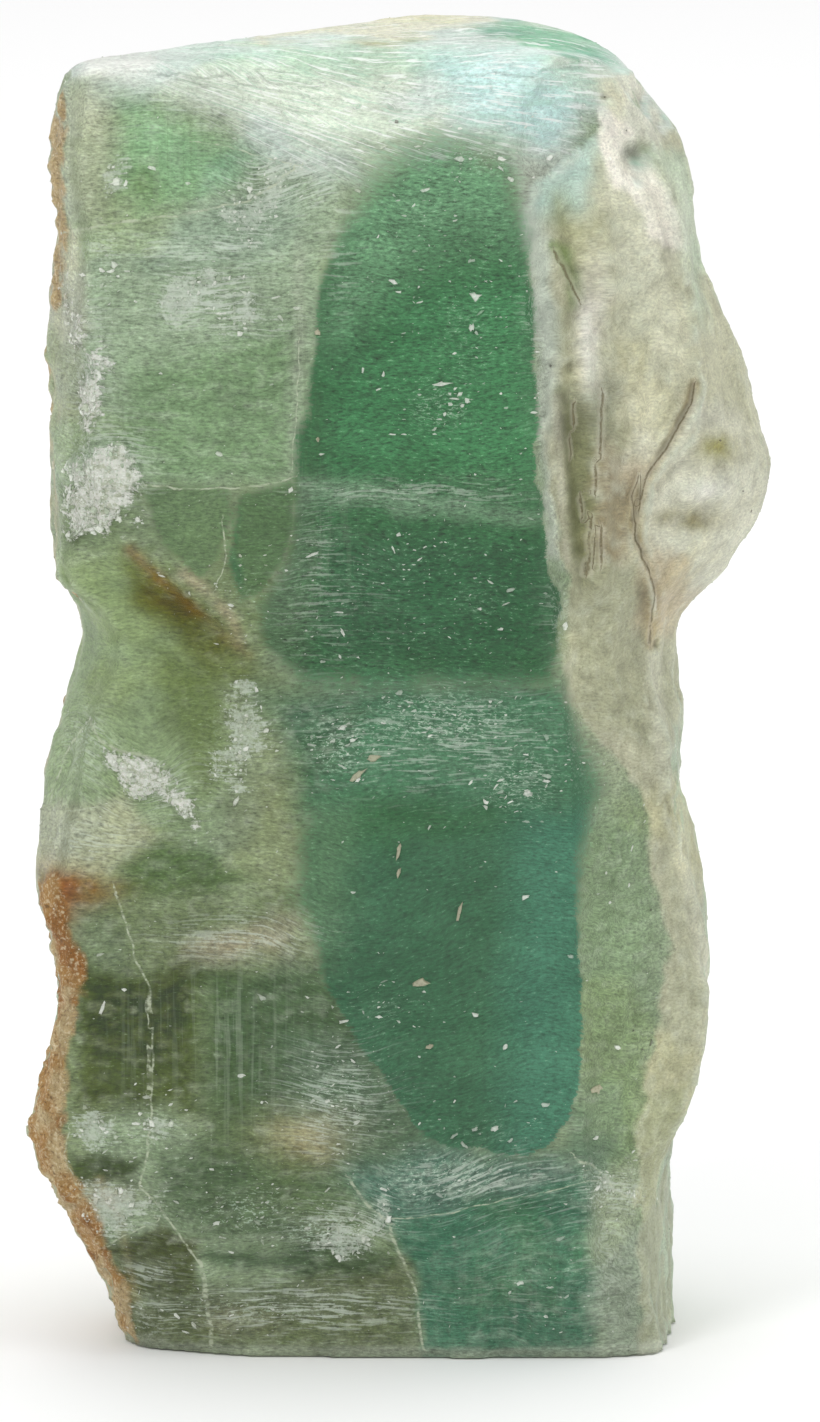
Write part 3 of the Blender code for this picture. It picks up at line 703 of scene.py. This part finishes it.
def colours_of(f):
    """The soft colour under everything, and that of the deep zones, in linear light."""
    p = f.p
    grain = grain_of(f)
    rind = painted(f, "c4c4a8", SIDE_RIND, RIND_LINES)
    face = mixed(painted(f, "94a686", FACE, FACE_LINES), (rind, smooth(f.cream, -0.5, 0.5)))
    crown = painted(f, "e0eee4", CROWN, CROWN_LINES)
    ground = mixed(other_sides(f), (face, f.seen), (crown, f.sheet))
    for colour, u, v, ru, rv, strength in SPOTS:
        share = strength * spot(f.view, u, v, ru, rv) * (1.0 + 0.7 * f.wobble) * f.seen
        ground = mixed(ground, (colour, share))
    wisps = smooth(fractal(grain, (5.0, 1.3, 3.0), 4, 91, 0.6), -0.10, 0.42)
    haze = f.haze * (0.25 + 0.75 * wisps)
    ground = mixed(ground, ("c2cdbc", 0.28 * haze))
    clouds = 1 + 0.11 * fractal(p, (8, 8, 6), 2, 51)
    clouds += 0.12 * f.seen * fractal(grain, (2.6, 1.0, 2.6), 3, 52)
    clouds += 0.07 * f.creamy * fractal(p, (1.9, 1.9, 2.6), 3, 58)
    ground = ground * clouds[:, None]
    warm = smooth(fractal(p, 12, 3, 57), 0.0, 0.5)[:, None]
    ground = ground * (1 + warm * np.array((0.05, 0.03, -0.07)))
    # Convex edges are paler, partly from wear and partly as a painted highlight, and hollows are darkened
    # with painted shade.
    crisp = 1 + 0.7 * f.creamy * f.seen
    edge_wear_and_highlight = np.clip(-f.hollow, 0, 1) * 0.30 * crisp
    ground = mixed(ground, ("dde4d2", edge_wear_and_highlight * (1 - smooth(f.rust, -0.3, 0.3))))
    ground = ground * (1 - 0.22 * crisp * np.clip(f.hollow, 0, 1))[:, None]
    rust = smooth(f.rust, -0.5, 0.3)
    dark = rust * smooth(fractal(p, 4, 3, 41), -0.1, 0.5) * 0.75
    pale = np.maximum(smooth(fractal(p, 5, 3, 44), 0.05, 0.4), smooth(p[:, 2], 70, 110))
    ground = mixed(ground, ("80967a", f.base), ("b48e5c", rust), ("98683c", dark),
                   ("c8b68e", rust * pale * 0.8))
    depths = 1.08 + 0.13 * fractal(p, (9, 9, 5), 3, 53) + 0.10 * fractal(grain, (3, 0.9, 3), 3, 54)
    deep = painted(f, "446e4c", DEEP) * depths[:, None]
    deep = mixed(deep, ("9db39c", 0.35 * haze))
    light = (LIGHT + 0.14 * f.sheet)[:, None]
    return np.clip((ground - GLOSS) / light, 0.004, 1), np.clip((deep - GLOSS) / light, 0.004, 1)


def values_of(f):
    """Every single value that the material reads at a vertex."""
    view = f.view
    values = {name: np.clip(vars(f)[name], -8, 8) for name in
              ("window", "pool", "recess", "crumb", "frost", "rust", "haze", "sheet")}
    wander = 2.0 * np.stack([fractal(f.p, 1.9, 2, 73), fractal(f.p, 1.9, 2, 75)], axis=1)
    values["vein"], values["vein_far"] = thin_lines(view, VEINS, f.seen, wander)
    values["dark"], values["dark_far"] = thin_lines(view, DARK_LINES, f.seen, wander)
    values["splinters"] = f.sheet * smooth(f.facing, 0, 0.3) * smooth(view[:, 0], 100, 180)
    values["growth"] = amount_of(view, GROWTH) * f.face + 0.4 * f.back
    others = 0.4 * (1 - f.front) * smooth(fractal(f.p, 15, 3, 19), 0, 0.4)
    values["glint"] = amount_of(view, SPARKLES) * f.front + others
    values["blur"] = 0.12 + amount_of(view, BLURS) + 0.25 * smooth(f.wobble, 0.1, 0.6)
    values["fibre"] = np.clip(f.face * amount_of(view, FIBRES), 0, 1)
    sides = (1 - f.seen) * (1 - f.sheet) * (1 - f.base) * (1 - 0.6 * f.back)
    values["rind"] = np.clip(np.maximum(np.maximum(f.creamy, 0.55 * f.waxen) * f.seen, sides), 0, 1)
    return values


# Materials

class Nodes:
    """A new material, with short names for making its nodes."""

    def __init__(self, name):
        self.material = bpy.data.materials.new(name)
        self.material.use_nodes = True
        self.tree = self.material.node_tree

    def put(self, node, inputs):
        """Sets inputs by name or by number: to another node's output, a screen colour or a plain value."""
        for key, value in dict(inputs).items():
            if isinstance(value, bpy.types.NodeSocket):
                self.tree.links.new(value, node.inputs[key])
            else:
                node.inputs[key].default_value = (*linear(value), 1.0) if isinstance(value, str) else value

    def shade(self, inputs):
        """Sets inputs of the material's surface."""
        self.put(self.tree.nodes["Principled BSDF"], inputs)

    def new(self, kind, inputs=(), output=0, **settings):
        """One output of a new node."""
        node = self.tree.nodes.new(kind)
        for name, value in settings.items():
            setattr(node, name, value)
        self.put(node, inputs)
        return node.outputs[output]

    def read(self, name, output="Fac"):
        return self.new("ShaderNodeAttribute", output=output, attribute_name=name)

    def place(self):
        return self.new("ShaderNodeTexCoord", output="Object")

    def math(self, operation, *items):
        return self.new("ShaderNodeMath", enumerate(items), operation=operation)

    def add(self, *items):
        return functools.reduce(lambda a, b: self.math("ADD", a, b), items)

    def times(self, *items):
        return functools.reduce(lambda a, b: self.math("MULTIPLY", a, b), items)

    def step(self, value, low, high, to_low=0.0, to_high=1.0):
        limits = enumerate((value, low, high, to_low, to_high))
        return self.new("ShaderNodeMapRange", limits, interpolation_type="SMOOTHSTEP")

    def mix(self, share, a, b):
        return self.new("ShaderNodeMix", {0: share, 6: a, 7: b}, 2, data_type="RGBA")

    def scaled(self, vector, factor):
        """A vector or a colour, times one value or three numbers."""
        if isinstance(factor, tuple):
            return self.new("ShaderNodeVectorMath", {0: vector, 1: factor}, operation="MULTIPLY")
        return self.new("ShaderNodeVectorMath", {0: vector, "Scale": factor}, operation="SCALE")

    def noise(self, vector, finer, detail, rough):
        """Noise of a vector that is first stretched by three numbers."""
        return self.new("ShaderNodeTexNoise", {"Vector": self.scaled(vector, finer), "Scale": 1.0,
                                               "Detail": detail, "Roughness": rough})


def waxy(n):
    """Lets light a little way into the stone."""
    n.shade({"IOR": 1.5, "Subsurface Weight": 0.25, "Subsurface Radius": (1.0, 1.3, 1.1),
             "Subsurface Scale": 1.4 * MM})


def calcite():
    """Waxy green calcite: deep zones, cleavage texture, fibres, frost, rind, crusts and rust."""
    n = Nodes("green_calcite_stone")
    add, times, step, mix, read, noise = n.add, n.times, n.step, n.mix, n.read, n.noise
    place, grain = n.scaled(n.place(), (1000.0,) * 3), read("grain", "Vector")
    felt = noise(grain, (1.3, 3.9, 1.5), 4.0, 0.72)
    grit = noise(place, (2.2,) * 3, 3.0, 0.74)
    silk = noise(grain, (0.26, 3.2, 0.3), 2.0, 0.66)
    splinters = noise(read("fan", "Vector"), (0.20, 3.0, 1.0), 3.0, 0.64)
    net = noise(grain, (0.9, 1.7, 0.9), 2.0, 0.60)
    upright = noise(place, (1.1, 0.4, 0.035), 3.0, 0.75)
    felt_off, grit_off, silk_off, net_off = [add(one, -0.5) for one in (felt, grit, silk, net)]
    jag = add(times(felt_off, 1.5), times(grit_off, 0.8))
    fibre, rind, glint, sheet, haze, spread, growth, blur = [read(name) for name in (
        "fibre", "rind", "glint", "sheet", "haze", "splinters", "growth", "blur")]
    less = times(blur, -1.0)

    def edge(name):
        return step(add(read(name), times(jag, add(blur, 1.0))), less, blur)

    recess = step(add(read("recess"), times(jag, 1.6)), -0.40, 0.40, 0.0, 0.9)
    deep_share = n.math("MAXIMUM", n.math("MAXIMUM", edge("window"), edge("pool")), recess)
    base = mix(times(deep_share, 0.97), read("ground", "Color"), read("deep", "Color"))

    def over(colour, *shares):
        """Lays a colour over the base, by the product of the shares."""
        nonlocal base
        base = mix(times(*shares), base, colour)

    # Light and dark of the fine texture.
    tone = add(step(deep_share, 0, 1, 2.5, 2.3), step(read("window"), 0, 3, 0, 1.3))
    tone = add(tone, times(sheet, -1.2), times(rind, -1.1))
    tone = add(times(felt_off, tone), times(grit_off, step(rind, 0, 1, 0.9, 0.5)),
               times(silk_off, fibre, 0.9), 1.0)
    base = n.scaled(base, tone)

    # Painted glints: pale dashes where cleavage chips catch the light, thin and level, and the painted net of
    # glints in the glinting band.
    glint_dashes = times(step(felt, 0.61, 0.72), step(glint, 0, 0.8, 0.25, 0.85))
    lines = step(n.math("ABSOLUTE", times(net_off, 2.0)), 0.10, 0.01)
    lines = times(lines, step(felt, 0.44, 0.58), step(glint, 0.40, 1.0, 0.0, 0.85))
    over("c4d8c4", n.math("MAXIMUM", glint_dashes, lines), add(times(rind, -0.7), 1.0))

    # White wisps of haze.
    wisps = add(times(silk_off, 1.7), times(grit_off, 0.6), times(haze, 0.24))
    over("ccd6c8", step(wisps, 0.13, 0.28), step(rind, 0, 1, 1, 0.2), haze, 0.72)

    # Silky fibres of the faces and straight splinters of the crown.
    over("e2ece4", step(silk, 0.54, 0.68), fibre, 0.55)
    over("f6faf6", step(splinters, 0.52, 0.65), spread, 0.75)
    over("a2cfb8", step(splinters, 0.49, 0.36), spread, 0.38)

    # Frosted, crumbled and rusty crusts: their edges break up in the texture.
    frost = add(times(silk_off, step(rind, 0, 1, 1.5, 0)), times(net_off, rind))
    frost = step(add(times(read("frost"), 0.26), frost, times(grit_off, 1.1)), 0.0, 0.28)
    over("c6d0c2", frost, step(grit, 0.35, 0.62, 0.25, 0.68))
    crumb = add(times(read("crumb"), 0.34), times(grit_off, 0.8), times(net_off, 1.4))
    crumb = step(crumb, -0.04, 0.20)
    crust = mix(step(net, 0.40, 0.54), "bcc2ac", "e2e4da")
    over(mix(step(grit, 0.52, 0.66), crust, "f2f4ee"), crumb, 0.9)
    rust = step(add(times(read("rust"), 0.5), times(grit_off, 1.6)), -0.05, 0.25)
    rusty = mix(step(grit, 0.50, 0.66, 0.0, 0.75), read("ground", "Color"), "dccfae")
    over(mix(step(grit, 0.46, 0.34, 0.0, 0.70), rusty, "5e4426"), rust, 0.92)

    # Faint growth lines, pale veins, and the crack and slots with pale lips.
    over("a0b096", step(upright, 0.53, 0.62), growth, 0.26)
    over("56683e", step(upright, 0.45, 0.38), growth, 0.30)

    def line(name, outer, inner):
        apart = n.math("ABSOLUTE", add(read(name), times(jag, 2.0)))
        return times(step(apart, outer, inner), step(read(name + "_far"), 0.9, 0.6))

    vein = times(line("vein", 2.0, 0.5), step(net, 0.40, 0.60, 0.15, 0.75))
    dark = times(line("dark", 1.7, 0.4), step(net, 0.34, 0.52, 0.3, 1.0))
    over("c4ccb2", vein)
    over("e8e2ce", line("dark", 7.0, 1.4), 0.22)
    over("6e6440", dark, 0.75)

    crusts = n.math("MAXIMUM", crumb, rust)
    rough = add(step(felt, 0.35, 0.65, 0.30, 0.42), times(rind, 0.10), times(crusts, 0.26),
                times(frost, 0.10))
    height = add(times(felt, step(rind, 0, 1, 1, 0.6)), times(silk, fibre, 0.8),
                 times(splinters, spread, 0.9), times(vein, 0.15), times(dark, -0.8),
                 times(grit, add(times(rind, 0.4), crusts, 0.30)))
    bump = n.new("ShaderNodeBump", {"Strength": 0.75, "Distance": 0.40 * MM, "Height": height})
    n.shade({"Base Color": base, "Roughness": rough, "Normal": bump})
    waxy(n)
    return n.material


def chip_stone():
    """The stone of the loose-edged chips: each has its own colour."""
    n = Nodes("calcite_chips")
    speck = n.noise(n.place(), (3000.0,) * 3, 3.0, 0.6)
    colour = n.scaled(n.read("ground", "Color"), n.step(speck, 0.3, 0.7, 0.86, 1.12))
    n.shade({"Base Color": colour, "Roughness": n.step(speck, 0.3, 0.7, 0.24, 0.40)})
    waxy(n)
    return n.material


# The stone

def thin(mesh):
    """The mesh with fewer triangles, most of them kept on the front."""
    holder = add_object("thinning", mesh)
    forward = -vectors(mesh.vertex_normals, "vector")[:, 1]
    group = holder.vertex_groups.new(name="less")
    weights = np.round(1 - smooth(forward, 0.0, 0.45), 1)
    for weight in np.unique(weights[weights > 0]):
        group.add(np.nonzero(weights == weight)[0].tolist(), float(weight), "REPLACE")
    mesh.calc_loop_triangles()
    decimate = holder.modifiers.new("Decimate", "DECIMATE")
    decimate.ratio = min(1.0, MOST_TRIANGLES / len(mesh.loop_triangles))
    decimate.vertex_group = "less"
    decimate.vertex_group_factor = 1.0
    return evaluated(holder)


def store(mesh, name, values, kind, field):
    """Keeps values for each vertex, which the material reads by name."""
    layer = mesh.attributes.new(name, kind, "POINT")
    layer.data.foreach_set(field, values.astype(np.float32).ravel())


def store_colour(mesh, name, colours):
    store(mesh, name, np.insert(colours, 3, 1.0, axis=1), "FLOAT_COLOR", "color")


def make_stone():
    mesh = grid_of(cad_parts["calcite_block"])
    surface = Surface(mesh)
    soften(surface)
    f = fields_of(surface.points, surface.normals())
    surface.points = surface.points + f.n * relief(f)[:, None]
    surface.points[:, 2] = np.maximum(surface.points[:, 2], 0.0)
    surface.store()
    mesh = thin(mesh)
    surface = Surface(mesh)
    normals = surface.normals()
    soft = surface.smoothed(surface.points, 5)
    hollow = np.sum((soft - surface.points) * normals, axis=1)
    broad = surface.smoothed(normals, 4)
    broad /= np.linalg.norm(broad, axis=1)[:, None]
    f = fields_of(surface.points, broad)
    f.hollow = np.clip(hollow / 0.14, -1.5, 1.5) * (0.25 + 0.75 * f.front)
    f.crown = surface.smoothed(f.crown[:, None], 12)[:, 0]
    values = values_of(f)
    for name, value in values.items():
        store(mesh, name, value, "FLOAT", "value")
    store(mesh, "grain", grain_of(f), "FLOAT_VECTOR", "vector")
    store(mesh, "fan", fan_of(f), "FLOAT_VECTOR", "vector")
    ground, deep = colours_of(f)
    store_colour(mesh, "ground", ground)
    store_colour(mesh, "deep", deep)
    mesh.shade_smooth()
    mesh.materials.clear()
    mesh.materials.append(calcite())
    place_piece("calcite_stone", mesh)
    in_deep = np.maximum(smooth(f.window, 0, 1), smooth(f.pool, 0, 1))
    make_chips(f, broad, mixed(ground, (deep, in_deep)), values["glint"])


def place_piece(name, mesh):
    piece = add_object(name, mesh)
    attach(piece, "root")
    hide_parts("calcite_block")


def chip(centre, normal, along, length, width, height, random):
    """Corners and faces of one flat splinter, sunk in the stone by its lower rim."""
    side, sunk = np.cross(normal, along), 0.12
    count = 9 if length > 0.9 else 5
    turns = (random.random(count) * 0.9 + np.arange(count)) / count * 2 * math.pi
    reach = 0.45 + 0.75 * random.random(count)
    lean = random.normal(0, 0.5, 2)
    rim, top = [], []
    for turn, r in zip(turns, reach):
        a, b = math.cos(turn) * r * length / 2, math.sin(turn) * r * width / 2
        rim.append(centre + along * a + side * b - normal * sunk)
        lift = height * (1 + lean[0] * a / length + lean[1] * b / width)
        top.append(centre + along * a * 0.7 + side * b * 0.7 + normal * max(lift, 0.01))
    faces = [(k, (k + 1) % count, count + (k + 1) % count, count + k) for k in range(count)]
    flat = tuple(range(count))
    return rim + top, faces + [tuple(count + k for k in flat), flat[::-1]]


def make_chips(f, normals, colours, glint):
    """Small cleavage chips on the surface: single ones, and many in the places where they gather."""
    random = np.random.default_rng(RANDOM_SEED)
    p = f.p
    facing = np.nonzero((normals[:, 1] < -0.25) & (p[:, 2] > 1.5))[0]
    tree = KDTree(len(facing))
    for k, index in enumerate(facing):
        tree.insert((*f.view[index], 0.0), k)
    tree.balance()
    white, beige, dark = linear("e2e8dc"), linear("b4ac94"), linear("4a443e")
    # Each wanted chip: vertex, length, width, turn in degrees, colour, share of the colour.
    wanted = [(facing[tree.find((u, v, 0.0))[1]], length * PIXEL, width * PIXEL, turn,
               (white, beige, dark)[int(kind)], 0.7) for u, v, length, width, turn, kind in rows(FLECKS, 6)]
    not_creamy = 1 - smooth(f.cream, -1, 1)
    density = (glint ** 1.3 + 0.06) * ((p[:, 2] > 1.5) * (1 - smooth(f.flank, -1, 1)) * not_creamy)
    density = density * (1 - 0.7 * f.crown)
    for index in random.choice(len(p), BRIGHT_CHIPS, p=density / density.sum()):
        length = min(1.3, 0.24 * math.exp(random.normal(0.15 + 0.5 * glint[index], 0.62)))
        wanted.append((index, length, length * random.uniform(0.2, 0.6), random.normal(8, 28), white,
                       random.uniform(0.2, 0.9)))
    frosted = smooth(f.frost, -0.6, 0.8) * not_creamy
    crystals = (smooth(f.crumb, -0.6, 0.5) + 0.5 * frosted) * (f.front > 0.05)
    for index in random.choice(len(p), CRUST_CHIPS, p=crystals / crystals.sum()):
        length = min(1.2, 0.34 * math.exp(random.normal(0.2, 0.45)))
        wanted.append((index, length, length * random.uniform(0.5, 0.9), random.uniform(0, 180), white,
                       random.uniform(0.1, 0.9)))
    points, faces, shades = [], [], []
    for index, length, width, turn, colour, share in wanted:
        normal = normals[index]
        level = np.cross(normal, (0, 1, 0) if abs(normal[1]) < 0.5 else (0, 0, 1))
        level = -level / np.linalg.norm(level) if level[0] < 0 else level / np.linalg.norm(level)
        upward = np.cross(normal, level)
        upward = upward if upward[2] > 0 else -upward
        turn = math.radians(turn)
        along = level * math.cos(turn) + upward * math.sin(turn)
        made, sides = chip(p[index], normal, along, length, width, 0.04 + 0.16 * width, random)
        faces += [tuple(len(points) + k for k in face) for face in sides]
        points += [tuple(c * MM) for c in made]
        shades += [colours[index] + (colour - colours[index]) * share] * len(made)
    mesh = bpy.data.meshes.new("chips")
    mesh.from_pydata(points, [], faces)
    store_colour(mesh, "ground", np.array(shades))
    mesh.materials.append(chip_stone())
    place_piece("calcite_chips", mesh)


# The studio

def make_floor():
    mesh = bpy.data.meshes.new("floor")
    half, drop = 4.0, 0.0002
    mesh.from_pydata([(-half, -half, 0), (half, -half, 0), (half, half, 0), (-half, half, 0)], [],
                     [(0, 1, 2, 3)])
    n = Nodes("pale_floor")
    n.shade({"Base Color": "fcfcfc", "Roughness": 0.7})
    mesh.materials.append(n.material)
    floor = add_object("floor", mesh, (0, 0, -drop))


def lamp(name, place, aim, size, power):
    data = bpy.data.lights.new(name, "AREA")
    data.shape = "RECTANGLE"
    data.size, data.size_y = size
    data.energy = power
    add_object(name, data, place, Vector(aim) - Vector(place))


def make_studio():
    make_floor()
    lamp("key_softbox", (-0.95, -1.35, 1.5), (0, 0, 0.08), (0.7, 0.7), 12.0)
    lamp("top_softbox", (0.1, 0.4, 2.0), (0, 0, 0.1), (1.4, 1.4), 16.0)
    lamp("right_softbox", (1.5, -0.6, 0.8), (0, 0, 0.07), (0.8, 1.0), 4.0)
    world = bpy.data.worlds.new("studio")
    world.use_nodes = True
    back = world.node_tree.nodes["Background"]
    back.inputs["Color"].default_value = (1, 1, 1, 1)
    back.inputs["Strength"].default_value = 0.70
    bpy.context.scene.world = world
    bpy.context.scene.view_settings.view_transform = "Standard"


make_camera()
make_stone()
make_studio()
